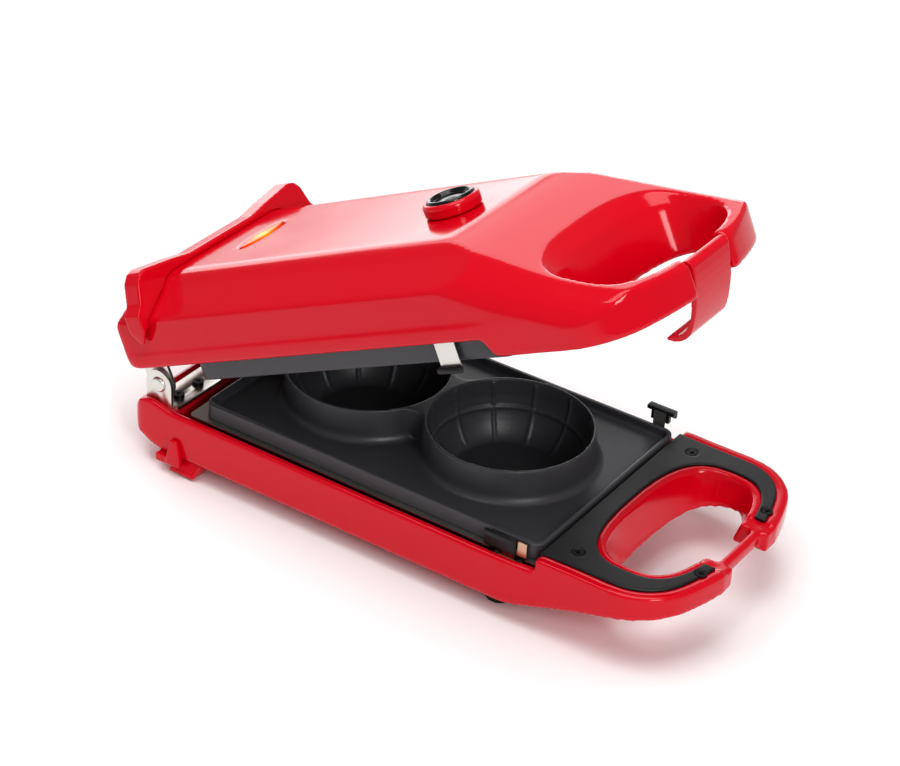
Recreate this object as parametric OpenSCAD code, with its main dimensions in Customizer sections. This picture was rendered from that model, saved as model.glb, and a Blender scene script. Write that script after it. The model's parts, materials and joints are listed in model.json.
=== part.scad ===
// Clamshell mould maker for two waffle cups: a base and a hinged lid, each with its own
// heated mould plate. X runs across, Y from the handles (-Y) to the hinge (+Y), Z is up.
// Shapes are drawn with y = 0 at the front edge of the mould plates and z = 0 at the plane
// where the two plates meet, and then moved onto the table by on_base() and on_lid().

/* [Plates] */
// Length of each mould plate, front to rear
plate_l = 237; // [190:1:290]
// Width of each mould plate
plate_w = 147.5; // [125:0.5:180]
// Corner radius of the mould plates
plate_r = 7; // [3:0.5:12]
// Height of the side wall of the lower plate
plate_h = 13; // [9:0.5:16]
// Wall and floor thickness of the mould plates
plate_t = 3; // [2:0.5:4]
// Outer radius of a cup ring at its rim
ring_r = 50; // [38:0.5:58]
// Height of a cup ring above the meeting plane
ring_h = 15.5; // [10:0.5:20]
// Depth of a cup from its rim
cup_depth = 36; // [26:1:36]
// Radius of a cup floor
cup_floor_r = 36; // [24:1:40]
// Thickness of the baked wall left between cup and plug
bake_gap = 4.5; // [3:0.5:6]
// Number of radial ribs in a cup
rib_count = 12; // [6:1:16]

/* [Shells] */
// Width of the base and of the lid
shell_w = 168; // [150:1:200]
// Wall thickness of the two shells
wall = 3; // [2:0.5:4]
// Depth of the base below the meeting plane
base_depth = 40; // [36:1:50]
// Height of the flat top of the lid above the meeting plane
lid_top = 62.3; // [56:0.1:74]
// Width of the flat top of the lid
top_w = 106; // [80:1:120]
// Gap from the meeting plane down to the rim of the base
base_rim_drop = 10.5; // [8:0.5:12]
// Gap from the meeting plane up to the rim of the lid
lid_rim_rise = 14.5; // [12:0.5:18]
// Height of the feet under the base
foot_h = 12; // [8:0.5:18]

/* [Handles] */
// How far the base's handle reaches in front of the plates
handle_reach = 94.4; // [85:0.1:115]
// How much shorter the lid's handle is
lid_short = 6; // [0:0.5:8]
// Width of the handles
handle_w = 164; // [145:1:180]
// Half width of the hand hole
hole_a = 57.5; // [45:0.5:62]
// Half length of the hand hole, front to rear
hole_b = 29.8; // [22:0.1:33]
// Width of the catch lever
lever_w = 38; // [28:1:46]
// Radius of the pin that the catch lever swings on
lever_pin_r = 2; // [1.5:0.25:2.5]

/* [Hinge] */
// Distance from the rear edge of the plates to the hinge pins
hinge_back = 30.4; // [26:0.2:36]
// Height of the hinge pins above the meeting plane
hinge_z = 2.5; // [0:0.5:5]
// Radius of the hinge pins
hinge_pin_r = 3; // [2:0.25:4]
// Thickness of the hinge brackets
bracket_t = 2; // [1.5:0.25:2.5]
// Angle that the lid stands open
lid_open = 25; // [0:1:60]

/* [Controls] */
// Radius of the thermostat dial
dial_r = 17; // [13:0.5:22]
// Height of the thermostat dial
dial_h = 8; // [5:0.5:12]
// Length of the lamp lens
lens_l = 43; // [30:1:52]

/* [Hidden] */
$fn = 64;

shell_red = "#e2001a";
cast_black = "#2b2a2d";
inlay_black = "#1d1d1f";
steel = "#b9b6ad";

touch = 0.01;        // overlap that joins two shapes of one solid
run_gap = 0.4;       // gap between pieces that move past each other
half_w = shell_w / 2;
half_h = handle_w / 2;
half_p = plate_w / 2;
floor_z = -5;        // top of the lower plate's floor
cup_pitch = 2 * ring_r + 0.35;
cup_mid_y = plate_l / 2 + 1.1;
cup_ys = [cup_mid_y - cup_pitch / 2, cup_mid_y + cup_pitch / 2];
cup_floor_z = ring_h - cup_depth;
hinge_y = plate_l + hinge_back;
rear_y = hinge_y + 17.6;
shell_corner_r = 9;
table_z = -base_depth - foot_h;

// handle outline: a corner arc and a wide front arc that are tangent to each other
corner_r = 40;
corner_x = half_h - corner_r;
corner_y = -handle_reach + 47.4;
corner_turn = 70;
front_arc_r = corner_r + corner_x / cos(corner_turn);
front_arc_y = corner_y + corner_x * tan(corner_turn);
front_y = front_arc_y - front_arc_r;
lid_front_y = front_y + lid_short;
hole_y = front_y + 48.1;

// inlay strip on the handle
inlay_in = 7;
inlay_t = 2.5;
inlay_z = -1.3;
handle_top = -2;
lid_handle_z = 4;
lid_slope = 0.3;      // rise of the handle's top towards the rear
step_y = -1.5;       // step from the handle down to the rim of the base

// catch lever, drawn hanging straight down from its pin and then tilted
lever_y = lid_front_y + 5.4;
lever_z = 20.5;
lever_gap = 0.5;
slot_w = lever_w + 2 * lever_gap;
keeper_w = 56;
keeper_y = lever_y - 4.2;
keeper_z = -12.5;
keeper_rear_y = keeper_y + 5.8;

// latches
latch_x = half_p + 2.2;
latch_pivot_z = -14.4;
upper_pivot_z = 19;
left_latch_y = 19;
right_latch_y = 13.2;
lower_right_top = 9;
upper_latch_y = 43;
notch_depth = 2;
tongue_z = -4;
upper_tongue_z = 7.5;

// trays
tray_t = 0.6;
tray_gap = 0.4;
tray_ledge_z = -plate_h;
tray_flange_x = half_w - 6;
tray_well_in = 5;
tray_deep = 30;
pan_h = ring_h + 0.8 + plate_t;
lid_tray_top = pan_h + 12;
element_r = 3.25;
element_x = half_p - 11.5;
clip_in = 47.4;      // from each end of the plates to the nearest clip

dial_y = 72;
lens_y = 222.5;
bar_y = rear_y - 31;

// the model is centred over the table: from the handle's front to the rearmost point at rest
function reach(y, z) = hinge_y + (y - hinge_y) * cos(lid_open) + (z - hinge_z) * sin(lid_open);
rear_reach = max(rear_y, reach(rear_y, lid_rim_rise + 13), reach(rear_y - 6, 54),
    reach(bar_y + 12.5, lid_top + 10));
front_reach = front_arc_y - sqrt(pow(front_arc_r, 2) - pow(keeper_w / 2, 2));
y_mid = (front_reach + rear_reach) / 2;

// ---------- placing ----------

module on_base() translate([0, -y_mid, -table_z]) children();

module on_lid() on_base()
    translate([0, hinge_y, hinge_z]) rotate([-lid_open, 0, 0])
    translate([0, -hinge_y, -hinge_z]) children();

module both_sides() {
    children();
    mirror([1, 0, 0]) children();
}

// a profile drawn as [y, z] points and extruded across X
module across(x0, x1) translate([x0, 0, 0]) rotate([90, 0, 90]) linear_extrude(x1 - x0) children();

// a profile drawn as [x, z] points and extruded along Y
module along(y0, y1) translate([0, y1, 0]) rotate([90, 0, 0]) linear_extrude(y1 - y0) children();

module block(x0, x1, y0, y1, z0, z1)
    translate([x0, y0, z0]) cube([x1 - x0, y1 - y0, z1 - z0]);

function arc(cx, cy, r, a0, a1, n = 12) =
    [for (i = [0:n]) let (a = a0 + (a1 - a0) * i / n) [cx + r * cos(a), cy + r * sin(a)]];

function bezier(a, b, c, d, n = 12) =
    [for (i = [0:n]) let (t = i / n, s = 1 - t)
        s*s*s * a + 3*s*s*t * b + 3*s*t*t * c + t*t*t * d];

// plan of the hand hole, shrunk by inset
function hole_plan(inset = 0, n = 48, power = 2.8) =
    [for (i = [0:n - 1]) let (a = 360 * i / n, c = cos(a), s = sin(a))
        [(hole_a - inset) * sign(c) * pow(abs(c), 2 / power),
         hole_y + (hole_b - inset) * sign(s) * pow(abs(s), 2 / power)]];

// right half of a shell's plan, from the rear centre round to the front centre
function shell_half(inset, rear, short) = concat(
    arc(half_w - shell_corner_r, rear - shell_corner_r, shell_corner_r - inset, 90, 0, 8),
    [[half_w - inset, 22], [half_h - inset, -18]],
    arc(corner_x, corner_y + short, corner_r - inset, 0, -corner_turn, 12),
    arc(0, front_arc_y + short, front_arc_r - inset, -corner_turn, -90, 8)
);

function mirrored(points) = concat(points, [for (i = [len(points) - 1:-1:0]) [-points[i].x, points[i].y]]);

module shell_plan(inset = 0, rear = rear_y, short = 0) polygon(mirrored(shell_half(inset, rear, short)));

module lid_plan(inset = 0, rear = rear_y) shell_plan(inset, rear, lid_short);

module plate_plan(grow = 0) {
    r = plate_r + grow;
    w = half_p + grow;
    polygon(mirrored(concat(
        arc(w - r, plate_l + grow - r, r, 90, 0, 6),
        arc(w - r, -grow + r, r, 0, -90, 6))));
}

// ---------- base ----------

// side view of the base, shrunk by inset
function base_side(inset = 0) = concat(
    [[front_y + inset, handle_top - inset], [front_y + inset, -14 + inset]],
    bezier([front_y + 3, -16 + inset], [-62, -17 + inset], [-40, -21.5 + inset], [-4, -34.5 + inset], 12),
    [[8, -38 + inset], [20, -base_depth + inset], [rear_y - 24, -base_depth + inset],
     [rear_y - 14, -37.5 + inset], [rear_y - 8, -34 + inset], [rear_y - 3 - inset, -33 + inset]],
    arc(rear_y - 15, -22, 15 - inset, -35, 90, 10),
    [[hinge_y - 12, -base_rim_drop - inset], [step_y, -base_rim_drop - inset], [step_y, handle_top - inset]]
);

module base_solid(inset = 0)
    intersection() {
        across(-half_w - 1, half_w + 1) polygon(base_side(inset));
        translate([0, 0, -base_depth - 5]) linear_extrude(base_depth + 20) shell_plan(inset);
    }

// the hand hole narrows from its rim towards the underside
module hand_hole(z0, z1, shrink, inset = 0)
    hull() {
        translate([0, 0, z1 - 0.1]) linear_extrude(0.1) polygon(hole_plan(inset));
        translate([0, 0, z0]) linear_extrude(0.1) polygon(hole_plan(inset + shrink));
    }

// a thin slice of the lid's hand hole, tilted to lie along the slope of the handle
module hole_slice(side, rear, z)
    multmatrix([[1, 0, 0, 0], [0, 1, 0, 0], [0, lid_slope, 1, z - lid_slope * hole_y]])
    linear_extrude(0.1) polygon([for (p = hole_plan(-side, 40)) [p.x, p.y + (p.y > hole_y ? rear : 0)]]);

// the lid's hand hole: a wide scoop at the top that narrows to the underside
module lid_hand_hole() {
    z = 38;
    hull() {
        hole_slice(6, 12, z + 30);
        hole_slice(6, 12, z);
    }
    hull() {
        hole_slice(6, 12, z);
        hole_slice(2.5, 6, z - 3);
    }
    hull() {
        hole_slice(2.5, 6, z - 3);
        hole_slice(0, 1, z - 10);
    }
    hull() {
        hole_slice(0, 1, z - 10);
        translate([0, 0, -2]) linear_extrude(0.1) polygon(hole_plan(9, 40));
    }
}

module base_shell() color(shell_red) on_base() {
    rim_in = half_w - tray_flange_x - 0.3;
    difference() {
        union() {
            difference() {
                base_solid();
                // body cavity, open upwards for the tray and the hinge bracket
                intersection() {
                    translate([0, 0, -base_depth + wall])
                        linear_extrude(base_depth) shell_plan(rim_in, rear_y - 2);
                    union() {
                        block(-half_w, half_w, 3.9, hinge_y + 7.4, -base_depth, 20);
                        block(-half_w, half_w, step_y - touch, 6, tray_ledge_z - 1, 20);
                    }
                }
                // handle cavity under the inlay
                difference() {
                    intersection() {
                        base_solid(wall);
                        translate([0, 0, -base_depth]) linear_extrude(base_depth - inlay_t - 2)
                            shell_plan(inlay_in);
                        block(-half_w, half_w, front_y - 1, step_y - 2, -base_depth, 0);
                    }
                    hand_hole(-base_depth, 2, 14, -wall);
                    block(-keeper_w / 2 - wall, keeper_w / 2 + wall, front_y - 1, hole_y, -base_depth, 2);
                }
                // seat of the inlay
                translate([0, 0, inlay_z - inlay_t]) linear_extrude(10) difference() {
                    shell_plan(inlay_in - 0.2);
                    polygon(hole_plan(-wall + 0.2));
                    translate([-half_w, step_y]) square([shell_w, plate_l]);
                }
            }
            // deck that carries the lower hinge bracket
            block(-half_w + 5, half_w - 5, hinge_y - 14, hinge_y + 7, -base_depth + 1, -12);
            // bosses under the inlay screws
            for (p = inlay_screw_points())
                translate([p.x, p.y, -15]) cylinder(r = 4.5, h = 15 + inlay_z - inlay_t);
            // posts under the tray
            for (x = [-1, 1], y = [24, plate_l - 24])
                translate([x * 30, y, -base_depth + 1]) cylinder(r = 4, h = base_depth - tray_deep - 1);
        }
        hand_hole(-base_depth, 2, 14);
        // keeper in the middle of the handle, which the catch lever hooks under
        block(-keeper_w / 2, keeper_w / 2, front_y - 2, front_y + 3, -base_depth, 2);
        block(-keeper_w / 2, keeper_w / 2, front_y - 2, front_y + 30, handle_top - 1.5, 2);
        block(-slot_w / 2, slot_w / 2, front_y - 2, keeper_y, -base_depth, 2);
        block(-slot_w / 2, slot_w / 2, front_y - 2, hole_y - hole_b + 9, -base_depth, keeper_z);
        block(-slot_w / 2, slot_w / 2, keeper_rear_y, hole_y - hole_b + 9, -base_depth, 2);
        for (p = inlay_screw_points()) translate([p.x, p.y, -13]) cylinder(r = 1.25, h = 20);
        for (p = inlay_screw_points()) translate([p.x, p.y, inlay_z - inlay_t + 1.1]) cylinder(r = 3.6, h = 8);
        for (p = lower_screw_points()) translate([p.x, p.y, -24]) cylinder(r = 1.5, h = 20);
        // room for the seats of the latches
        block(half_p, tray_flange_x + 0.3, right_latch_y - 9.3, right_latch_y + 9.3, -18, 0);
        mirror([1, 0, 0]) block(half_p, tray_flange_x + 0.3, left_latch_y - 9.3, left_latch_y + 9.3, -18, 0);
        // hole for the cord gland in the rear wall
        translate([0, rear_y - 24, -24]) rotate([-90, 0, 0]) cylinder(r = 7, h = 40);
        translate([0, rear_y - 2, -24]) rotate([-90, 0, 0]) cylinder(r = 8, h = 10);
        block(-14, 14, hinge_y - 20, rear_y - 10, -34, -14);
        // slots for the ears of the hinge bracket
        both_sides() block(ear_x0() - 0.5, ear_x0() + bracket_t + 0.5, hinge_y - 14, hinge_y + 11, -24, 5);
    }
}

function inlay_screw_points() =
    [[-62.5, -17.5], [62.5, -17.5], [-37.5, front_y + 13.4], [37.5, front_y + 13.4]];

function lid_inlay_screw_points() = [for (p = inlay_screw_points()) [p.x, p.y + (p.y < -40 ? lid_short + 2 : 0)]];

function lower_screw_points() = [for (x = [-66, -48, 48, 66]) [x, hinge_y - 5]];

function upper_screw_points() = [for (x = [-66, -48, 48, 66]) [x, hinge_y - 7]];

function ear_x0() = half_w - 5.5 - bracket_t;

module base_inlay() color(inlay_black) on_base()
    difference() {
        translate([0, 0, inlay_z - inlay_t]) linear_extrude(inlay_t) difference() {
            shell_plan(inlay_in);
            polygon(hole_plan(-wall));
            translate([-half_w, step_y]) square([shell_w, plate_l * 2]);
            translate([-keeper_w / 2 - 0.2, front_y - 2]) square([keeper_w + 0.4, 34]);
        }
        for (p = inlay_screw_points()) translate([p.x, p.y, inlay_z - inlay_t]) {
            translate([0, 0, -1]) cylinder(r = 1.75, h = 6);
            translate([0, 0, 1.1]) cylinder(r = 3.6, h = 6);
        }
    }

// pan-head screw with its head's top at z = 0, pointing down
module screw(head_r, head_h, shank_r, length) {
    difference() {
        translate([0, 0, -head_h]) cylinder(r = head_r, h = head_h);
        for (a = [0, 90]) rotate([0, 0, a]) translate([-head_r * 0.6, -0.4, -0.9]) cube([head_r * 1.2, 0.8, 2]);
    }
    translate([0, 0, -length]) cylinder(r = shank_r, h = length - head_h + touch);
}

module base_inlay_screws() color("#161616") on_base()
    for (p = inlay_screw_points()) translate([p.x, p.y, inlay_z - 0.2]) screw(3.3, 1.2, 1.25, 11);

module tray_shape(deep) {
    // rim flange
    linear_extrude(tray_t) difference() {
        intersection() {
            shell_plan(half_w - tray_flange_x, plate_l + 14);
            translate([-half_w, step_y + 0.5]) square([shell_w, plate_l + 16]);
        }
        plate_plan(tray_gap);
    }
    // upright wall and ledge that the plate stands on
    difference() {
        translate([0, 0, deep - tray_t]) linear_extrude(-deep + tray_t * 2) plate_plan(tray_gap + tray_t);
        translate([0, 0, deep]) linear_extrude(-deep + 5) plate_plan(tray_gap);
    }
}

module base_heat_tray() color(steel) on_base() {
    z_flange = -base_rim_drop + 0.1;
    wall_drop = tray_ledge_z - z_flange;
    difference() {
        union() {
            translate([0, 0, z_flange]) tray_shape(wall_drop);
            translate([0, 0, -tray_deep]) linear_extrude(tray_deep + tray_ledge_z)
                plate_plan(-tray_well_in + tray_t);
        }
        translate([0, 0, -tray_deep + tray_t]) linear_extrude(tray_deep + 5) plate_plan(-tray_well_in);
        latch_cut(right_latch_y, -19, 0);
        mirror([1, 0, 0]) latch_cut(left_latch_y, -19, 0);
    }
    latch_seat(right_latch_y);
    mirror([1, 0, 0]) latch_seat(left_latch_y);
}

// shelf and two lugs that carry the pivot of a lower latch
module latch_seat(y) difference() {
    union() {
        block(half_p - tray_well_in, tray_flange_x - 0.2, y - 9, y + 9, -17.4, -16.4);
        for (s = [-7.8, 7.8])
            block(latch_x - 1.6, latch_x + 1.8, y + s - 1.2, y + s + 1.2, -17, latch_pivot_z + 1.6);
    }
    latch_bore(y, latch_pivot_z);
}

module latch_bore(y, z) translate([latch_x + 0.3, y - 15, z]) rotate([-90, 0, 0]) cylinder(r = 0.85, h = 30);

// opening in a tray's edge where a latch stands
module latch_cut(y, z0, z1)
    block(half_p - 1.2, half_w - 4, y - 12, y + 12, z0, z1);

// heating rod laid as an open loop round the cups
module rod_loop(z) translate([0, 0, z]) {
    bend = 14;
    y0 = 14;
    y1 = plate_l - 14;
    gap_x = 16;
    both_sides() {
        translate([element_x, y0 + bend, 0]) rotate([-90, 0, 0]) cylinder(r = element_r, h = y1 - y0 - 2 * bend);
        translate([element_x - bend, y0 + bend, 0]) rotate([0, 0, -90]) rotate_extrude(angle = 90)
            translate([bend, 0]) circle(r = element_r);
        translate([element_x - bend, y1 - bend, 0]) rotate_extrude(angle = 90)
            translate([bend, 0]) circle(r = element_r);
        translate([gap_x, y1, 0]) rotate([0, 90, 0]) cylinder(r = element_r, h = element_x - bend - gap_x);
    }
    translate([bend - element_x, y0, 0]) rotate([0, 90, 0]) cylinder(r = element_r, h = 2 * (element_x - bend));
}

rod_drop = -floor_z + plate_t + element_r;

module base_heating_element() color("#6f6a63") on_base() rod_loop(-rod_drop);

// saddle clips that hold the rod to the tray
module rod_clips(z_rod, z_tray) for (y = [clip_in, plate_l / 2, plate_l - clip_in]) both_sides()
    translate([element_x, y, 0]) difference() {
        block(-4.6, 4.6, -5, 5, min(z_rod, z_tray), max(z_rod, z_tray));
        translate([0, 0, z_rod]) rotate([90, 0, 0]) cylinder(r = element_r, h = 20, center = true);
    }

module base_element_clips() color(steel) on_base() rod_clips(-rod_drop, -tray_deep + tray_t);

// ---------- mould plates ----------

// wall profile of a cup: [radius, z] from the rim down to the floor
function cup_profile(grow, rim_z, bottom_z) = let (
        r0 = ring_r - 1.6 + grow,
        r1 = cup_floor_r + grow,
        depth = rim_z - bottom_z
    ) concat(
        [[r0, rim_z], [r0 - 0.9, rim_z - depth * 0.3]],
        bezier([r0 - 2.6, rim_z - depth * 0.5], [r0 - 5, rim_z - depth * 0.75],
               [r1 + 2.5, bottom_z + depth * 0.07], [r1 - 2, bottom_z], 6)
    );

module cup_void() rotate_extrude($fn = 96) polygon(concat([[0, ring_h + 1], [ring_r - 1.6, ring_h + 1]],
    cup_profile(0, ring_h, cup_floor_z), [[0, cup_floor_z]]));

module ring_outside() rotate_extrude($fn = 96) polygon(concat(
    [[0, ring_h], [ring_r, ring_h], [ring_r + 1.3, floor_z + 5.5]],
    arc(ring_r + 7.3, floor_z + 5.5, 6, 180, 270, 5), [[0, floor_z]]));

module cup_outside() rotate_extrude($fn = 96) polygon(concat([[0, floor_z]],
    [for (p = cup_profile(plate_t - 0.6, ring_h, cup_floor_z - plate_t + 0.6)) if (p.y <= floor_z - 1) p],
    [[0, cup_floor_z - plate_t + 0.6]]));

// flat bridge between the two rings, hollowed by round fillets
module ring_bridge() {
    mid = (cup_ys[0] + cup_ys[1]) / 2;
    reach = (cup_ys[1] - cup_ys[0]) / 2;
    fillet_r = 10;
    fillet_x = sqrt(pow(ring_r + fillet_r, 2) - reach * reach);
    part = ring_r / (ring_r + fillet_r);
    translate([0, mid, floor_z]) linear_extrude(ring_h - floor_z) difference() {
        square([2 * fillet_x * part, 2 * reach * (1 - part)], center = true);
        for (s = [-1, 1]) translate([s * fillet_x, 0]) circle(r = fillet_r);
    }
}

// radial ribs and one ring rib that stand out of the cup wall
module cup_ribs() intersection() {
    difference() {
        cup_void();
        rotate_extrude($fn = 96) polygon(concat([[0, ring_h + 1], [ring_r - 2.6, ring_h + 1]],
            cup_profile(-1, ring_h, cup_floor_z), [[0, cup_floor_z]]));
    }
    union() {
        for (i = [0:rib_count - 1]) rotate([0, 0, 15 + i * 360 / rib_count])
            block(20, ring_r, -0.7, 0.7, cup_floor_z, ring_h - 2.5);
        translate([0, 0, ring_h - cup_depth * 0.5 - 0.8]) cylinder(r = ring_r, h = 1.6);
    }
}

// slot in the side wall of a plate that a latch's tongue reaches into
module latch_slot(y, z) block(half_p - notch_depth, half_p + 1, y - 6, y + 6, z - 1, z + 2);

module lower_mould_plate() color(cast_black) on_base() {
    difference() {
        union() {
            difference() {
                translate([0, 0, -plate_h]) linear_extrude(plate_h) plate_plan();
                translate([0, 0, floor_z]) linear_extrude(10) plate_plan(-plate_t);
                translate([0, 0, -plate_h - 1]) linear_extrude(plate_h + 1 + floor_z - plate_t) plate_plan(-plate_t);
            }
            for (y = cup_ys) translate([0, y, 0]) {
                ring_outside();
                cup_outside();
            }
            ring_bridge();
        }
        for (y = cup_ys) translate([0, y, 0]) cup_void();
        latch_slot(right_latch_y, tongue_z);
        mirror([1, 0, 0]) latch_slot(left_latch_y, tongue_z);
    }
    for (y = cup_ys) translate([0, y, 0]) cup_ribs();
}

module plug() rotate_extrude($fn = 96) polygon(concat(
    [[0, ring_h + 2], [ring_r - 1.6 - bake_gap, ring_h + 2]],
    cup_profile(-bake_gap, ring_h, cup_floor_z + bake_gap), [[0, cup_floor_z + bake_gap]]));

module plug_void() rotate_extrude($fn = 96) polygon(concat(
    [[0, pan_h + 1], [ring_r - 1.6 - bake_gap - plate_t, pan_h + 1]],
    cup_profile(-bake_gap - plate_t, ring_h, cup_floor_z + bake_gap + plate_t),
    [[0, cup_floor_z + bake_gap + plate_t]]));

module upper_mould_plate() color(cast_black) on_lid() {
    difference() {
        union() {
            difference() {
                translate([0, 0, run_gap]) linear_extrude(pan_h - run_gap) plate_plan();
                translate([0, 0, -1]) linear_extrude(pan_h + 1 - plate_t) plate_plan(-plate_t);
            }
            for (y = cup_ys) translate([0, y, 0]) plug();
        }
        for (y = cup_ys) translate([0, y, 0]) plug_void();
        both_sides() latch_slot(upper_latch_y, upper_tongue_z);
    }
}

// ---------- feet, gland and terminals ----------

module cord_hooks() color(shell_red) on_base() both_sides() {
    // skirt foot under the rear corner
    hull() {
        block(half_w - 22, half_w - 3, rear_y - 52, rear_y - 30, -base_depth - 1, -base_depth);
        block(half_w - 20, half_w + 1, rear_y - 48, rear_y - 30, table_z + 1.5, table_z + 2.5);
    }
    // upright prong that the cord is wound behind
    hull() {
        block(half_w, half_w + 4, rear_y - 40, rear_y - 30, -base_depth - 4, -base_depth + 2);
        block(half_w, half_w + 2.5, rear_y - 37, rear_y - 32, -28, -27);
    }
    block(half_w - 8, half_w + 3, rear_y - 36, rear_y - 21, -base_depth - 5, -base_depth);
}

module rubber_feet() color("#242424") on_base() both_sides() {
    translate([half_w - 20, 30, table_z]) cylinder(r = 8, h = foot_h);
    translate([half_w - 10, rear_y - 39, table_z]) cylinder(r = 6, h = 1.5);
}

module cord_gland() color("#1a1a1a") on_base()
    translate([0, rear_y - 16, -24]) rotate([-90, 0, 0]) difference() {
        union() {
            cylinder(r = 6.9, h = 16);
            translate([0, 0, 14]) cylinder(r = 7.7, h = 3.2);
            cylinder(r = 9, h = 3);
        }
        translate([0, 0, -1]) cylinder(r = 3.8, h = 30);
    }

module terminal_block() color("#e8e2d0") on_base() {
    difference() {
        block(-18, 18, plate_l - 3, plate_l + 9, -base_depth + wall, -base_depth + wall + 10);
        for (x = [-12, 0, 12]) translate([x, plate_l - 6, -base_depth + wall + 4])
            rotate([-90, 0, 0]) cylinder(r = 2, h = 30);
    }
    for (x = [-12, 0, 12]) translate([x, plate_l + 3, -base_depth + wall + 10]) cylinder(r = 2.5, h = 1);
}

// ---------- hinge ----------

hinge_ear_r = 9.5;

// ear outline in [y, z]: round about the pin, straight towards the foot
module ear_profile(dir, length) {
    translate([hinge_y, hinge_z]) circle(r = hinge_ear_r);
    translate([hinge_y - hinge_ear_r, dir > 0 ? hinge_z : hinge_z - length]) square([2 * hinge_ear_r, length]);
}

module hinge_bracket_lower() color(steel) on_base() difference() {
    union() {
        both_sides() across(ear_x0(), ear_x0() + bracket_t) ear_profile(-1, 25);
        block(-ear_x0() - touch, ear_x0() + touch, hinge_y - 13, hinge_y + 6, -12, -12 + bracket_t);
    }
    across(-half_w, half_w) translate([hinge_y, hinge_z]) circle(r = hinge_pin_r);
    for (p = lower_screw_points()) translate([p.x, p.y, -13]) cylinder(r = 1.75, h = 6);
    block(-36, 36, hinge_y - 20, hinge_y - 6, -13, -8);
}

module hinge_bracket_upper() color(steel) on_lid() {
    x1 = ear_x0() - 0.5;
    difference() {
        union() {
            both_sides() across(x1 - bracket_t, x1) ear_profile(1, 25);
            block(-x1, x1, hinge_y - 13, hinge_y + 6, hinge_z + 23, hinge_z + 23 + bracket_t);
        }
        across(-half_w, half_w) translate([hinge_y, hinge_z]) circle(r = hinge_pin_r + 0.05);
        for (p = upper_screw_points()) translate([p.x, p.y, 20]) cylinder(r = 1.75, h = 12);
    }
}

module hinge_pins() color("#d8d5cc") on_base() both_sides()
    translate([ear_x0() - bracket_t - 2, hinge_y, hinge_z]) rotate([0, 90, 0]) {
        cylinder(r = hinge_pin_r, h = 2 * bracket_t + 2.5);
        translate([0, 0, 2 * bracket_t + 2]) cylinder(r1 = 5.2, r2 = 4, h = 1.6);
        cylinder(r = 4.5, h = 1.2);
    }

module hinge_screws_lower() color("#161616") on_base()
    for (p = lower_screw_points()) translate([p.x, p.y, -12 + bracket_t + 2.2]) screw(3.4, 2.2, 1.5, 14);

module hinge_screws_upper() color("#161616") on_lid()
    for (p = upper_screw_points()) translate([p.x, p.y, hinge_z + 23 - 2.2])
        mirror([0, 0, 1]) screw(3.4, 2.2, 1.5, 8);

// ---------- lid ----------

// side view of the lid, shrunk by inset
function lid_side(inset = 0) = concat(
    [[lid_front_y + 4.5, 25.5 - inset], [lid_front_y + 1.2 + inset, 21.5 - inset],
     [lid_front_y + inset, 16], [lid_front_y + inset, lid_handle_z + inset], [5, lid_handle_z + inset],
     [12, lid_rim_rise], [rear_y - 14, lid_rim_rise]],
    arc(rear_y - 13, lid_rim_rise + 13, 13 - inset, -90, 0, 6),
    [[rear_y - 1.5 - inset, 42], [rear_y - 6 - inset, 54]],
    arc(rear_y - 24, lid_top - 16, 16 - inset, 35, 90, 5),
    [[rear_y - 34, lid_top - inset]],
    bezier([42, lid_top - inset], [14, lid_top - 4.3 - inset], [-22, 37.5 - inset], [lid_front_y + 12, 27.5 - inset], 20)
);

// front view of the lid above its rim, shrunk by inset
function lid_section(inset = 0) = let (t = top_w / 2) mirrored(concat(
    [[t - 5, lid_top - inset], [t + 1 - inset, lid_top - 1.6 - inset * 0.9],
     [t + 7 - inset, lid_top - 6.3 - inset * 0.8]],
    [[half_w - 3.5 - inset, 43.5 - inset * 0.5], [half_w - 1.5 - inset, lid_rim_rise + 9.5],
     [half_w - inset, lid_rim_rise + 8.5], [half_w - inset, -5]]));

// section of the handle's top, which falls away to both sides; it is sheared along the slope
function brow_section(inset = 0) = mirrored([
    [40, 4 - inset], [60, 0.5 - inset], [70, -5.5 - inset], [77, -11.5 - inset],
    [81.5, -19 - inset], [83, -28 - inset], [half_w + 2, -45], [half_w + 2, -120]]);

module lid_solid(inset = 0) intersection() {
    multmatrix([[1, 0, 0, 0], [0, 1, 0, 0], [0, 0.29, 1, lid_top - 0.29 * 42]])
        along(lid_front_y - 1, rear_y + 1) polygon(brow_section(inset));
    across(-half_w - 1, half_w + 1) polygon(lid_side(inset));
    along(lid_front_y - 1, rear_y + 1) polygon(lid_section(inset));
    translate([0, 0, -5]) linear_extrude(lid_top + 10) lid_plan(inset);
}

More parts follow.
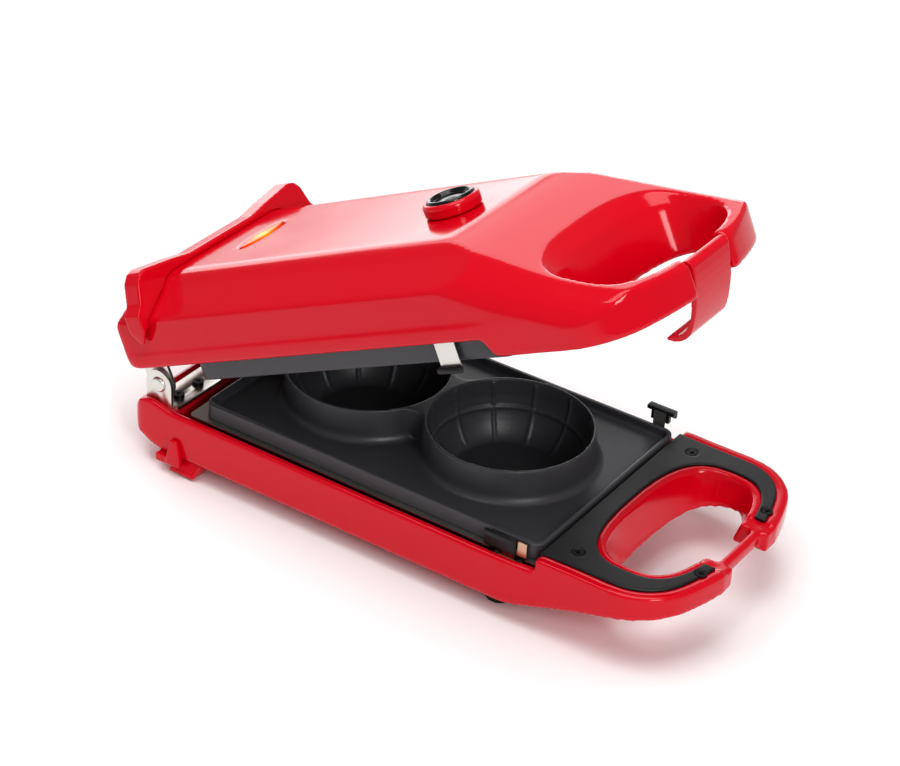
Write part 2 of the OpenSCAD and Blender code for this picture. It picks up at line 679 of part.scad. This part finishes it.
module lid_shell() color(shell_red) on_lid() {
    difference() {
        union() {
            difference() {
                lid_solid();
                // body cavity, open downwards
                intersection() {
                    translate([0, 0, -6]) linear_extrude(100) lid_plan(half_w - tray_flange_x - 0.3, rear_y - 2);
                    translate([0, 0, -10]) linear_extrude(lid_rim_rise + 20) square([shell_w, 2 * rear_y], center = true);
                    block(-half_w, half_w, 8, rear_y - 4, -10, lid_rim_rise + 9);
                }
                intersection() {
                    lid_solid(wall);
                    block(-half_w + 5.7, half_w - 5.7, 8, rear_y, -10, 100);
                }
                block(-half_p - 1.3, half_p + 1.3, step_y, 10, -10, lid_tray_top + 0.2);
                // handle cavity, closed from below by the inlay
                difference() {
                    intersection() {
                        lid_solid(wall);
                        block(-half_w, half_w, lid_front_y, hole_y + hole_b - 6, -5, 100);
                        translate([0, 0, -5]) linear_extrude(100) lid_plan(inlay_in);
                    }
                    hand_hole(-2, 60, 6, -wall - 5);
                    block(-slot_w / 2 - wall, slot_w / 2 + wall, lid_front_y - 1, hole_y, -5, 40);
                }
                translate([0, 0, lid_handle_z - 5]) linear_extrude(5 + inlay_t) difference() {
                    lid_plan(inlay_in - 0.2);
                    polygon(hole_plan(6.5 - wall + 0.2));
                    translate([-half_w, step_y]) square([shell_w, plate_l * 2]);
                    translate([-slot_w / 2 - wall, lid_front_y - 2]) square([slot_w + 2 * wall, 32]);
                }
            }
            // shelf that carries the upper hinge bracket
            block(-half_w + 5, half_w - 5, hinge_y - 13, hinge_y + 6, hinge_z + 23 + bracket_t, hinge_z + 30);
            for (p = lid_inlay_screw_points()) translate([p.x, p.y, lid_handle_z + inlay_t]) cylinder(r = 4.5, h = 20);
            // posts that the lid's tray hangs from
            intersection() {
                for (x = [-1, 1], y = [34, plate_l - 34])
                    translate([x * 36, y, lid_tray_top]) cylinder(r = 4, h = 50);
                lid_solid(1);
            }
            // tube that guides the dial's shaft
            translate([0, dial_y, lid_top - 8]) cylinder(r = 7, h = 7);
        }
        lid_hand_hole();
        // slot for the catch lever
        block(-slot_w / 2, slot_w / 2, lid_front_y - 2, lever_y + 5.2, -5, 40);
        block(-slot_w / 2, slot_w / 2, lid_front_y - 2, lever_y + 18, -5, 13);
        // bores for the lever's pin
        across(-slot_w / 2 - 8, slot_w / 2 + 8) translate([lever_y, lever_z]) circle(r = lever_pin_r);
        for (p = lid_inlay_screw_points()) translate([p.x, p.y, -1]) cylinder(r = 1.25, h = 18);
        for (p = upper_screw_points()) translate([p.x, p.y, hinge_z + 20]) cylinder(r = 1.5, h = 9);
        translate([0, dial_y, lid_top - 20]) cylinder(r = 4.5, h = 40);
        // room for the ears of the hinge bracket
        both_sides() block(ear_x0() - bracket_t - 1, ear_x0() + 0.2, hinge_y - 11, hinge_y + 11, -5, hinge_z + 23);
        // room for the head of the right lower latch when the lid is shut
        block(latch_x - 1, half_w - 2.4, right_latch_y - 9.6, right_latch_y + 9.6, -5, lower_right_top + 1);
        // window for the lamp lens
        translate([0, lens_y, lid_top - 10]) linear_extrude(20) polygon(lens_plan(0.2));
    }
}

function lens_plan(grow) = let (a = lens_l / 2 + grow, b = 5 + grow) concat(
    bezier([-a, -1.2], [-a * 0.5, -b * 1.2], [a * 0.3, -b], [a, 0.2], 8),
    bezier([a, 1.2], [a * 0.5, b * 1.2], [-a * 0.3, b], [-a, -0.2], 8));

module lid_inlay() color(inlay_black) on_lid() difference() {
    translate([0, 0, lid_handle_z]) linear_extrude(inlay_t) difference() {
        lid_plan(inlay_in);
        polygon(hole_plan(6.5 - wall));
        translate([-half_w, step_y]) square([shell_w, plate_l * 2]);
        translate([-slot_w / 2 - wall - 0.2, lid_front_y - 2]) square([slot_w + 2 * wall + 0.4, 32]);
    }
    for (p = lid_inlay_screw_points()) translate([p.x, p.y, lid_handle_z - 1]) {
        cylinder(r = 1.75, h = 6);
        cylinder(r = 3.6, h = 2.4);
    }
}

module lid_inlay_screws() color("#161616") on_lid()
    for (p = lid_inlay_screw_points()) translate([p.x, p.y, lid_handle_z + 0.2])
        mirror([0, 0, 1]) screw(3.3, 1.2, 1.25, 11);

module lid_heat_tray() color(steel) on_lid() {
    z_flange = lid_rim_rise - 0.7;
    difference() {
        union() {
            translate([0, 0, z_flange]) linear_extrude(tray_t) difference() {
                intersection() {
                    lid_plan(half_w - tray_flange_x, plate_l + 14);
                    translate([-half_w, 10]) square([shell_w, plate_l + 4]);
                }
                plate_plan(tray_gap);
            }
            difference() {
                translate([0, 0, z_flange]) linear_extrude(lid_tray_top - z_flange) plate_plan(tray_gap + tray_t);
                translate([0, 0, z_flange - 1]) linear_extrude(lid_tray_top + 1 - tray_t - z_flange) plate_plan(tray_gap);
            }
        }
        both_sides() latch_cut(upper_latch_y, 0, 16);
    }
    both_sides() difference() {
        for (s = [-9.8, 9.8]) block(half_p + tray_gap + 0.3, latch_x + 1.8, upper_latch_y + s - 1.2,
            upper_latch_y + s + 1.2, upper_pivot_z - 1.6, upper_pivot_z + 3);
        latch_bore(upper_latch_y, upper_pivot_z);
    }
}

module lid_heating_element() color("#6f6a63") on_lid() rod_loop(pan_h + element_r);

module lid_element_clips() color(steel) on_lid() rod_clips(pan_h + element_r, lid_tray_top - tray_t);

module stand_bar() color(shell_red) on_lid() {
    top = lid_top + 10;
    depth = 12.5;
    low = 4;
    out = half_w + 3;
    // bar across the rear of the lid: low in the middle, high at both ends
    difference() {
        along(bar_y, bar_y + depth) polygon(mirrored([
            [30, lid_top + low], [45, top - 3.3], [60, top - 1.3], [69, top], [74, top - 1.5], [78, top - 6],
            [82, 54], [out, 49], [out, 40], [half_w - 10, 40], [half_w - 20, lid_top - 8], [0, lid_top - 4]]));
        lid_solid();
    }
    // prong at the end of each leg
    both_sides() hull() {
        block(half_w, out, bar_y, bar_y + depth, 39, 41);
        block(half_w, half_w + 2, bar_y + 5, bar_y + 8, 31, 32);
    }
}

// ---------- controls ----------

module lamp_lens() color("#ff5a10") on_lid()
    translate([0, lens_y, lid_top]) {
        translate([0, 0, -wall - touch]) linear_extrude(wall + 0.4) polygon(lens_plan(0));
        translate([0, 0, -wall - 1]) linear_extrude(1) polygon(lens_plan(1.2));
    }

module neon_lamp() color("#ffb070") on_lid() translate([-8, lens_y, lid_top - wall - 4]) rotate([0, 90, 0]) {
    cylinder(r = 3, h = 14);
    translate([0, 0, 14]) sphere(r = 3);
}

module dial_ring() color(shell_red) on_lid() translate([0, dial_y, lid_top + run_gap]) difference() {
    union() {
        rotate_extrude($fn = 96) polygon(concat([[0, 0], [dial_r - 1, 0], [dial_r - 0.2, 1]],
            arc(dial_r - 2.5, dial_h - 2.5, 2.5, 0, 90, 5), [[0, dial_h]]));
        translate([0, 0, -22]) cylinder(r = 3, h = 22 + touch);
    }
    translate([0, 0, dial_h - 2.6]) cylinder(r = dial_r - 2.8, h = 5, $fn = 96);
}

module dial_cap() color("#141416") on_lid() translate([0, dial_y, lid_top + run_gap + dial_h - 2.6])
    rotate_extrude($fn = 96) polygon(concat([[0, 0], [dial_r - 2.9, 0]],
        arc(dial_r - 4.5, 2.4, 1.6, 0, 150, 6), [[dial_r - 6.6, 1.7], [4, 1], [0, 0.9]]));

module thermostat() color("#c9c3b6") on_lid() translate([0, dial_y, 0]) difference() {
    union() {
        translate([0, 0, lid_tray_top]) cylinder(r = 13, h = 14);
        translate([0, 0, lid_tray_top + 13]) cylinder(r = 5.2, h = lid_top - 8.3 - lid_tray_top - 13);
        block(-17, 17, -3, 3, lid_tray_top, lid_tray_top + 1.5);
    }
    translate([0, 0, lid_top - 22.4]) cylinder(r = 3.05, h = 30);
}

module thermal_fuse() color("#ded6c2") on_lid()
    translate([-14, 150, lid_tray_top + 2]) rotate([0, 90, 0]) cylinder(r = 2, h = 28);

// ---------- catch lever ----------

lever_drop = 46;

module catch_lever() color(shell_red) on_lid()
    translate([0, lever_y, lever_z]) rotate([lid_open, 0, 0]) difference() {
        across(-lever_w / 2, lever_w / 2) {
            circle(r = 4.2);
            polygon(concat(
                bezier([-4, 1.2], [-8, -10], [-9, -24], [-7, -lever_drop + 10], 8),
                bezier([-6.4, -lever_drop + 8], [-4.5, -lever_drop + 3.5], [0, -lever_drop],
                       [6.5, -lever_drop], 4),
                [[7.6, -lever_drop + 1.4]],
                bezier([5, -lever_drop + 2.8], [0, -lever_drop + 4.5], [-3.2, -lever_drop + 7.5],
                       [-4.6, -lever_drop + 13], 4),
                bezier([-5.4, -28], [-5.4, -16], [-3, -8], [2.6, -3.2], 5)));
        }
        across(-lever_w, lever_w) circle(r = lever_pin_r + 0.05);
    }

module catch_pin() color("#d8d5cc") on_lid()
    across(-slot_w / 2 - 7.9, slot_w / 2 + 7.9) translate([lever_y, lever_z]) circle(r = lever_pin_r);

// ---------- plate latches ----------

// pivot barrel of a latch with a stub pin at each end
module latch_barrel(y, z, w) translate([latch_x + 0.3, y, z]) rotate([90, 0, 0]) {
    cylinder(r = 1.2, h = w, center = true);
    cylinder(r = 0.8, h = w + 4, center = true);
}

// steel strip of a latch with the tongue that holds the plate, drawn for the +X side
module latch_strip(y, w, z0, z1, z_tongue) {
    block(latch_x, latch_x + 0.6, y - w / 2, y + w / 2, z0, z1);
    block(half_p - 1.5, latch_x + touch, y - 4, y + 4, z_tongue, z_tongue + 1);
}

module lower_right_latch_strip() color(steel) on_base() {
    latch_strip(right_latch_y, 8, latch_pivot_z, lower_right_top - 1.5, tongue_z);
    latch_barrel(right_latch_y, latch_pivot_z, 12.4);
}

module lower_right_latch_pad() color("#1b1b1d") on_base() {
    z = lower_right_top;
    y = right_latch_y;
    block(latch_x + 0.6, latch_x + 3.4, y - 6, y + 6, z - 8, z);
    block(latch_x + 0.6, latch_x + 5.2, y - 9, y + 9, z - 2.4, z);
    block(latch_x + 3.4 - touch, latch_x + 5.2, y - 9, y + 9, z - 4.4, z - 2.4 + touch);
}

module lower_left_latch_strip() color("#c98a5e") on_base() mirror([1, 0, 0]) {
    latch_strip(left_latch_y, 8, latch_pivot_z, -6, tongue_z);
    block(latch_x, latch_x + 0.6, left_latch_y - 12, left_latch_y + 4, -9, -5.9);
    block(latch_x, latch_x + 0.6, left_latch_y - 12, left_latch_y - 6, -9, 0.2);
    block(latch_x, latch_x + 0.6, left_latch_y - 4, left_latch_y + 4, -6, -2);
    latch_barrel(left_latch_y, latch_pivot_z, 12.4);
}

module lower_left_latch_pad() color("#1b1b1d") on_base() mirror([1, 0, 0]) {
    y0 = left_latch_y - 5.5;
    y1 = left_latch_y + 15;
    block(latch_x + 0.6, latch_x + 2.2, y0, y1, -9.2, 0.8);
    block(latch_x + 2.2 - touch, latch_x + 3.6, y0, y1, -2.2, 0.8);
}

// latches of the lid: a steel strip whose curled end is pressed to let the plate go
module upper_strip() difference() {
    union() {
        latch_strip(upper_latch_y, 14, -2.6, upper_pivot_z, upper_tongue_z);
        latch_barrel(upper_latch_y, upper_pivot_z, 16.4);
    }
    curl_core();
}

module curl_core() along(upper_latch_y - 8, upper_latch_y + 8) translate([latch_x + 2.2, -2.6]) circle(r = 2.1);

module upper_right_latch_pad() color("#1b1b1d") on_lid() curl_core();

module upper_right_latch_strip() color(steel) on_lid() upper_strip();

module upper_left_latch_pad() color("#1b1b1d") on_lid() mirror([1, 0, 0]) curl_core();

module upper_left_latch_strip() color(steel) on_lid() mirror([1, 0, 0]) upper_strip();

base_shell();
base_inlay();
base_inlay_screws();
base_heat_tray();
base_heating_element();
base_element_clips();
lower_mould_plate();
cord_hooks();
rubber_feet();
cord_gland();
terminal_block();
hinge_bracket_lower();
hinge_bracket_upper();
hinge_pins();
hinge_screws_lower();
hinge_screws_upper();
lid_shell();
lid_inlay();
lid_inlay_screws();
lid_heat_tray();
lid_heating_element();
lid_element_clips();
upper_mould_plate();
stand_bar();
lamp_lens();
neon_lamp();
dial_ring();
dial_cap();
thermostat();
thermal_fuse();
catch_lever();
catch_pin();
lower_left_latch_pad();
lower_left_latch_strip();
lower_right_latch_pad();
lower_right_latch_strip();
upper_left_latch_pad();
upper_left_latch_strip();
upper_right_latch_pad();
upper_right_latch_strip();
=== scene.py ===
# %% [markdown]
# # A clamshell waffle cup maker
# A base and a hinged lid each hold a mould plate. The imported CAD model is loaded as a fixed frame:
# every node keeps its place, and this lesson only adds finishes and finer, rounded copies of the pieces
# whose moulded shape the eye looks at first.

# %% Load the frame
import bpy, bmesh, json, math
from mathutils import Matrix, Vector


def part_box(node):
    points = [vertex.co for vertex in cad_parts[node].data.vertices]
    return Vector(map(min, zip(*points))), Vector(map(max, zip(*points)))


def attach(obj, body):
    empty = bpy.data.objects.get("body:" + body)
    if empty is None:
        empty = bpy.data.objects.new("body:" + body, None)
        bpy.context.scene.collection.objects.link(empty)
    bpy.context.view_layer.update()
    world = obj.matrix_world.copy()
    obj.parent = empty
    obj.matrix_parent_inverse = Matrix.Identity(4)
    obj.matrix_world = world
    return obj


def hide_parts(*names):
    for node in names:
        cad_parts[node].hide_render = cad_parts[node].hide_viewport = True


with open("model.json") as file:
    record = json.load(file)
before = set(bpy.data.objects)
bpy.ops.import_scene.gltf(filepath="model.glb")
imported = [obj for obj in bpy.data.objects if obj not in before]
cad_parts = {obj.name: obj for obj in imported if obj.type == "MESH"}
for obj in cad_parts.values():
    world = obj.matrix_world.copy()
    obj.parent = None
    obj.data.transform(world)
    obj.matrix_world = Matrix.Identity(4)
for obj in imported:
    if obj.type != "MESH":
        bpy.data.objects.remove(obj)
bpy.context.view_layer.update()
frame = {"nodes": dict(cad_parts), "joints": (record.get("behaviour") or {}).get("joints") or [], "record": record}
nodes = frame["nodes"]
scene = bpy.context.scene
MM = 0.001

# %% [markdown]
# The lid stands open at rest. Some finishing is easier with the lid shut, because its flat top then lies
# level. The hinge's place and its lower limit, both read from the record, give the turn that shuts it.

# %% The turn that shuts the lid
hinge = next(j for j in frame["joints"] if j["name"] == "lid_hinge")
pivot = Vector(hinge["pos_m"])
opened = math.radians(-hinge["range_deg"][0])
lid_turn = Matrix.Translation(pivot) @ Matrix.Rotation(-opened, 4, "X") @ Matrix.Translation(-pivot)
print("lid open by", round(math.degrees(opened), 1), "degrees at", tuple(pivot))

# %% [markdown]
# The camera is a long lens that looks down on the near side from beyond the handles, as in a product
# shot. Its three directions are set as the columns of its matrix.

# %% Camera
camera_data = bpy.data.cameras.new("camera")
camera_data.lens = 102.6
camera_data.sensor_width = 36
camera_data.clip_end = 20
camera = bpy.data.objects.new("camera", camera_data)
right = Vector((0.56715, -0.82238, 0.04511))
up = Vector((0.41747, 0.33426, 0.84498))
ahead = Vector((0.70997, 0.46040, -0.53289))
stand = Matrix.Translation(pivot + Vector((-1.06165, -0.84338, 0.82033)))
camera.matrix_world = stand @ Matrix((right, up, -ahead)).transposed().to_4x4()
scene.collection.objects.link(camera)
scene.camera = camera
print("camera at", tuple(round(v, 3) for v in camera.matrix_world.translation))

# %% [markdown]
# Colours are written as hex values, as a paint chart gives them. The renderer counts light instead, so
# one function turns each value to linear.

# %% Colour
def lin(code, alpha=1.0):
    parts = [int(code[i:i + 2], 16) / 255 for i in (1, 3, 5)]
    return [c / 12.92 if c <= 0.04045 else ((c + 0.055) / 1.055) ** 2.4 for c in parts] + [alpha]

print("mid grey is", round(lin("#808080")[0], 3))

# %% [markdown]
# The set is a plain pale floor, wide enough that its edge is far from the object.

# %% Floor
bm = bmesh.new()
bmesh.ops.create_grid(bm, x_segments=1, y_segments=1, size=6)
floor_mesh = bpy.data.meshes.new("floor")
bm.to_mesh(floor_mesh)
bm.free()
floor = bpy.data.objects.new("floor", floor_mesh)
scene.collection.objects.link(floor)
print("floor laid")

# %% [markdown]
# Large soft boxes light the set. One hangs overhead, and one at the front left shows as small bright
# windows on the rounded corners that face the camera. The low one behind is what the lid's flat top
# mirrors at its shallow angle, and a weaker one above it does the same for faces that are nearly level.

# %% Soft lights
def soft_box(name, place, aim, size, power):
    light = bpy.data.lights.new(name, "AREA")
    light.shape = "RECTANGLE"
    light.size, light.size_y = size
    light.energy = power
    lamp = bpy.data.objects.new(name, light)
    lamp.location = place
    lamp.rotation_euler = (Vector(aim) - Vector(place)).to_track_quat("-Z", "Y").to_euler()
    scene.collection.objects.link(lamp)
    print(name, power, "W")

soft_box("overhead", (-0.2, 0.1, 1.9), (0, 0, 0.1), (1.5, 1.5), 23)
soft_box("behind", (1.75, 1.75, 0.24), (0, 0, 0.16), (2.3, 0.95), 17)
soft_box("behind_high", (1.55, 1.3, 1.05), (0, 0, 0.16), (1.7, 0.7), 5)
soft_box("front_left", (-1.2, -1.7, 1.3), (0, 0, 0.1), (0.6, 0.9), 17)

# %% [markdown]
# A dim white world fills the shade. The plain view transform keeps the red as strong as it is painted,
# and a little more contrast keeps the blacks deep.

# %% World and view
world = bpy.data.worlds.new("studio")
world.use_nodes = True
world.node_tree.nodes["Background"].inputs[0].default_value = (1, 1, 1, 1)
world.node_tree.nodes["Background"].inputs[1].default_value = 0.3
scene.world = world
scene.view_settings.view_transform = "Standard"
scene.view_settings.look = "Medium High Contrast"
print("view:", scene.view_settings.view_transform, scene.view_settings.look)

# %% [markdown]
# Every material is a small network of shader nodes. One function adds a node, sets its values and links
# its inputs, so that each network below reads as a short list.

# %% Helper for shader nodes
def add(tree, kind, settings=None, links=None):
    node = tree.nodes.new(kind)
    for key, value in (settings or {}).items():
        if hasattr(node, key):
            setattr(node, key, value)
        else:
            node.inputs[key].default_value = value
    for key, socket in (links or {}).items():
        tree.links.new(socket, node.inputs[key])
    return node

print("node helper ready")

# %% [markdown]
# A real surface is never perfectly even. A broad noise varies the roughness a little, as handling and
# moulding do, and a fine noise with the finish's own grain size in millimetres lifts it as a bump. Both
# read Object coordinates, so the grain has its real size and stays put when a piece moves.

# %% A surface with grain
BROAD_SCALE = 22.0  # patches of about 45 mm

def surface(name, color, rough, metallic=0.0, grain_mm=0.4, bump_mm=0.01, spread=0.06, ior=1.5):
    mat = bpy.data.materials.new(name)
    mat.use_nodes = True
    tree = mat.node_tree
    shader = tree.nodes["Principled BSDF"]
    shader.inputs["Base Color"].default_value = lin(color)
    shader.inputs["Metallic"].default_value = metallic
    if not metallic:
        shader.inputs["IOR"].default_value = ior
    place = add(tree, "ShaderNodeTexCoord")
    here = {"Vector": place.outputs["Object"]}
    fine = add(tree, "ShaderNodeTexNoise", {"Scale": 1 / (grain_mm * MM), "Detail": 3.0}, here)
    broad = add(tree, "ShaderNodeTexNoise", {"Scale": BROAD_SCALE, "Detail": 2.0}, here)
    limits = {"From Min": 0.3, "From Max": 0.7, "To Min": max(0.02, rough - spread), "To Max": rough + spread}
    level = add(tree, "ShaderNodeMapRange", limits, {"Value": broad.outputs["Fac"]})
    tree.links.new(level.outputs["Result"], shader.inputs["Roughness"])
    if bump_mm:
        lift = {"Strength": 1.0, "Distance": bump_mm * MM}
        bump = add(tree, "ShaderNodeBump", lift, {"Height": fine.outputs["Fac"]})
        tree.links.new(bump.outputs["Normal"], shader.inputs["Normal"])
    return mat

print("surface() builds a finish from a colour, a roughness and a grain size")

# %% [markdown]
# The shells are ABS. The gloss ones come from polished tools, so they mirror the soft boxes, and the
# satin black one from a lightly etched tool. The true grain of polished ABS is too fine to see, so it is
# drawn about 1 mm wide and only 0.002 mm high, as a faint ripple in the gloss.

# %% Plastics and rubber
finishes = {
    # polished ABS: a clear mirror image over a deep red
    "red_shell": surface("gloss_red_ABS", "#d00020", 0.13,
                         grain_mm=1.2, bump_mm=0.002, spread=0.03, ior=1.42),
    # etched ABS: a soft grey sheen, no mirror image
    "black_plastic": surface("satin_black_ABS", "#17171a", 0.45, grain_mm=0.3, bump_mm=0.012),
    # polished black ABS: nearly a mirror
    "black_gloss": surface("gloss_black_ABS", "#0c0c0e", 0.12, grain_mm=1.0, bump_mm=0.002, spread=0.03),
    # moulded rubber: dull and dark
    "foot_rubber": surface("matt_rubber", "#1a1a1a", 0.75, grain_mm=0.3, bump_mm=0.02),
    # pressed and fired steatite: cream and matt
    "white_plastic": surface("steatite_ceramic", "#e3dcc6", 0.5, grain_mm=0.4, bump_mm=0.01),
    # drawn glass tube: smooth, warm from the gas inside
    "lamp_glass": surface("neon_glass", "#ffb377", 0.08, grain_mm=1.0, bump_mm=0.0, spread=0.02),
}
print("plastics:", sorted(finishes))

# %% [markdown]
# The mould plates are cast aluminium under a sprayed non-stick coating, whose small pebbles break up
# the light. The rest of the metal is rolled sheet, rod or wire, so its grain is fine and shallow.

# %% Coating and metals
finishes.update({
    # sprayed coating: pebbles of about 0.6 mm that sparkle along the rims
    "nonstick_plate": surface("nonstick_coating", "#444448", 0.38, grain_mm=0.6, bump_mm=0.09, spread=0.05),
    # blackened steel: dark with a dull metal sheen
    "black_screw": surface("black_oxide_steel", "#1d1c1b", 0.38, metallic=0.7, grain_mm=0.3, bump_mm=0.006),
    # aluminised sheet: pale grey, half dull
    "tray_steel": surface("aluminised_steel", "#b9b6ae", 0.33, metallic=1.0, grain_mm=0.5, bump_mm=0.006),
    # steel rod that has been hot: brown and dull
    "heater_steel": surface("heat_tinted_steel", "#6d6258", 0.45, metallic=1.0, grain_mm=0.4, bump_mm=0.01),
    # zinc plate: bright, slightly milky
    "zinc_steel": surface("zinc_plated_steel", "#dad8d2", 0.34, metallic=1.0, grain_mm=0.6, bump_mm=0.004),
    # thin copper plate on a spring strip: pale pink metal
    "copper_strip": surface("copper_plated_spring", "#d8b49c", 0.3,
                            metallic=1.0, grain_mm=0.5, bump_mm=0.004),
})
print("finishes:", len(finishes))

# %% [markdown]
# The lens is clear orange polycarbonate with a small lamp behind its middle. A colour ramp on the
# distance from the lens's middle gives the yellow glow there and the dark red at its two tips.

# %% Lens
def lit_lens():
    mat = surface("orange_polycarbonate_lit", "#ff5a0a", 0.1, grain_mm=1.0, bump_mm=0.0, spread=0.02)
    tree = mat.node_tree
    shader = tree.nodes["Principled BSDF"]
    low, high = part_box("lamp_lens")
    middle = [(a + b) / 2 for a, b in zip(low, high)]
    half_length = (high[0] - low[0]) / 2
    place = add(tree, "ShaderNodeTexCoord")
    centred = add(tree, "ShaderNodeMapping", None, {"Vector": place.outputs["Object"]})
    centred.inputs["Location"].default_value = [-c for c in middle]
    away = add(tree, "ShaderNodeVectorMath", {"operation": "LENGTH"}, {0: centred.outputs["Vector"]})
    ends = {"From Min": MM, "From Max": half_length}
    part = add(tree, "ShaderNodeMapRange", ends, {"Value": away.outputs["Value"]})
    colours = add(tree, "ShaderNodeValToRGB", None, {"Fac": part.outputs["Result"]})
    ramp = colours.color_ramp
    ramp.elements[0].color = lin("#ffc22e")
    ramp.elements[1].color = lin("#8e1204")
    ramp.elements.new(0.3).color = lin("#ff7a10")
    ramp.elements.new(0.75).color = lin("#f04a08")
    tree.links.new(colours.outputs["Color"], shader.inputs["Base Color"])
    tree.links.new(colours.outputs["Color"], shader.inputs["Emission Color"])
    shader.inputs["Emission Strength"].default_value = 0.35
    return mat

finishes["amber_lens"] = lit_lens()
print("lens finish:", finishes["amber_lens"].name)

# %% [markdown]
# The record names a material slot for every CAD node. Each node gets the finish of its slot, and the
# floor gets a matt white paper that shows nothing but soft shade.

# %% Finishes on the CAD nodes and the floor
floor_mesh.materials.append(surface("matt_floor_paper", "#fbfbfb", 0.9, grain_mm=0.8, bump_mm=0.01))
slot_of = {piece["node"]: piece["material_slot"] for piece in frame["record"]["subparts"]}
for name, piece in nodes.items():
    piece.data.materials.clear()
    piece.data.materials.append(finishes[slot_of[name]])
print("nodes with a finish:", len(slot_of))

# %% [markdown]
# Moulded plastic has no knife edges. The two shells are finished from copies of their CAD meshes: the
# copy is merged, rebuilt on a fine even grid, relaxed so that every edge gets its small radius, and
# thinned where it is flat. The lid's copy is shut first, so that the grid lies along its flat top.

# %% Rounded copies
def softened(node, name, body, cell_mm, passes, turn=Matrix.Identity(4), keep=1.0):
    mesh = nodes[node].data.copy()
    mesh.transform(turn.inverted())
    bm = bmesh.new()
    bm.from_mesh(mesh)
    bmesh.ops.remove_doubles(bm, verts=bm.verts, dist=1e-6)
    bm.to_mesh(mesh)
    bm.free()
    piece = bpy.data.objects.new(name, mesh)
    scene.collection.objects.link(piece)
    grid = piece.modifiers.new("grid", "REMESH")
    grid.mode, grid.voxel_size, grid.use_smooth_shade = "VOXEL", cell_mm * MM, True
    relax = piece.modifiers.new("relax", "SMOOTH")
    relax.factor, relax.iterations = 0.5, passes
    if keep < 1:
        thin = piece.modifiers.new("thin", "DECIMATE")
        thin.ratio = keep
    done = bpy.data.meshes.new_from_object(piece.evaluated_get(bpy.context.evaluated_depsgraph_get()))
    piece.modifiers.clear()
    piece.data = done
    done.transform(turn)
    done.materials.clear()
    done.materials.append(finishes[slot_of[node]])
    for face in done.polygons:
        face.use_smooth = True
    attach(piece, body)
    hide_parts(node)
    print(name, len(done.polygons), "faces")

softened("lid_shell", "lid_cover", "lid", 1.3, 12, lid_turn, 0.6)
softened("base_shell", "base_cover", "base", 1.3, 11, keep=0.6)

# %% [markdown]
# The small moulded pieces are rounded in the same way on a finer grid: the bar that the shut maker can
# stand on, the side hooks, the catch lever, the dial with its dished cap, the feet and the gland. The
# cast mould plates and the inlay follow, with few passes, so that the rims of the cups stay crisp.

# %% Rounded small pieces
softened("stand_bar", "bar_cover", "lid", 0.8, 7, lid_turn, 0.7)
softened("cord_hooks", "hook_cover", "base", 0.6, 6)
softened("catch_lever", "lever_cover", "catch", 0.5, 5, keep=0.7)
softened("dial_ring", "ring_cover", "dial", 0.4, 6, lid_turn)
softened("dial_cap", "cap_cover", "dial", 0.4, 4, lid_turn)
softened("rubber_feet", "foot_cover", "base", 0.5, 4)
softened("cord_gland", "gland_cover", "base", 0.5, 3)
softened("lower_mould_plate", "plate_cover", "base", 0.75, 3, keep=0.42)
softened("upper_mould_plate", "upper_cover", "lid", 1.0, 3, lid_turn, 0.6)
softened("base_inlay", "inlay_cover", "base", 0.6, 2, keep=0.5)

# %% [markdown]
# The hinge's brackets and pins and the latches' pads keep their flat faces. A copy of each CAD mesh
# is merged, its flat faces are joined again, and a narrow bevel takes the knife edge off, so that
# each edge catches light.

# %% Bevelled metal and small parts
def edged(node, name, body, width_mm):
    mesh = nodes[node].data.copy()
    bm = bmesh.new()
    bm.from_mesh(mesh)
    bmesh.ops.remove_doubles(bm, verts=bm.verts, dist=1e-6)
    bmesh.ops.dissolve_limit(bm, angle_limit=math.radians(1), verts=bm.verts, edges=bm.edges)
    bm.to_mesh(mesh)
    bm.free()
    mesh.materials.clear()
    mesh.materials.append(finishes[slot_of[node]])
    piece = bpy.data.objects.new(name, mesh)
    scene.collection.objects.link(piece)
    for face in mesh.polygons:
        face.use_smooth = True
    edge = piece.modifiers.new("edge", "BEVEL")
    edge.width = width_mm * MM
    edge.segments = 2
    edge.limit_method = "ANGLE"
    edge.angle_limit = math.radians(35)
    edge.harden_normals = True
    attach(piece, body)
    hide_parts(node)
    print("edged", node)

for node, body, width in (
    ("hinge_bracket_lower", "base", 0.25), ("hinge_bracket_upper", "lid", 0.25), ("hinge_pins", "base", 0.25),
    ("lower_left_latch_pad", "lower_left_latch", 0.4), ("lower_right_latch_pad", "lower_right_latch", 0.4),
    ("upper_left_latch_pad", "upper_left_latch", 0.4), ("upper_right_latch_pad", "upper_right_latch", 0.4),
):
    edged(node, node + "_edged", body, width)
